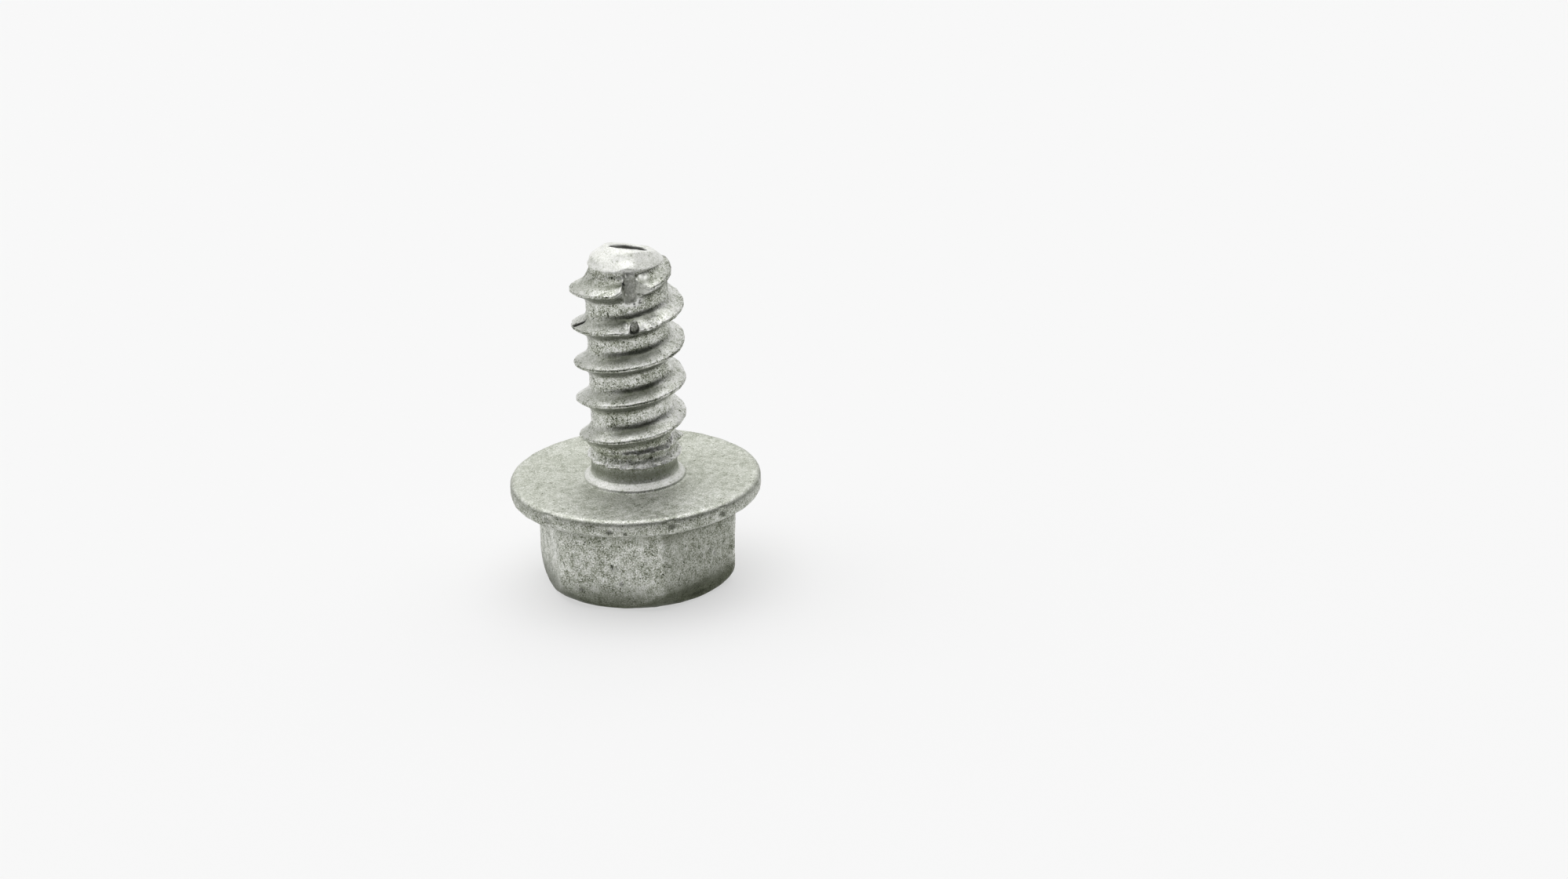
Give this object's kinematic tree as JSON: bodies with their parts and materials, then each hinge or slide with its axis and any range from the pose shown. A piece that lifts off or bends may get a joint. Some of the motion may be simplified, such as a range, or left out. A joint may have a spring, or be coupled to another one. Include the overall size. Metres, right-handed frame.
{
  "type": "flanged hex head screw",
  "caption": "Thread-cutting screw with a flanged hex head, a cross recess in the head's end, a coarse spaced thread and a blunt slotted point, standing on its head.",
  "frame": {"origin": "centre of the head's end, in the plane of its flat rim", "axes": "+Z along the screw's axis from the head to the point; two hex corners lie on +X and -X"},
  "size_m": [0.0107, 0.0106, 0.0151],
  "materials": {
    "coated_steel": "matt silver-grey zinc-flake coating with a fine grain"
  },
  "bodies": {
    "root": {"screw": "coated_steel"}
  },
  "joints": []
}
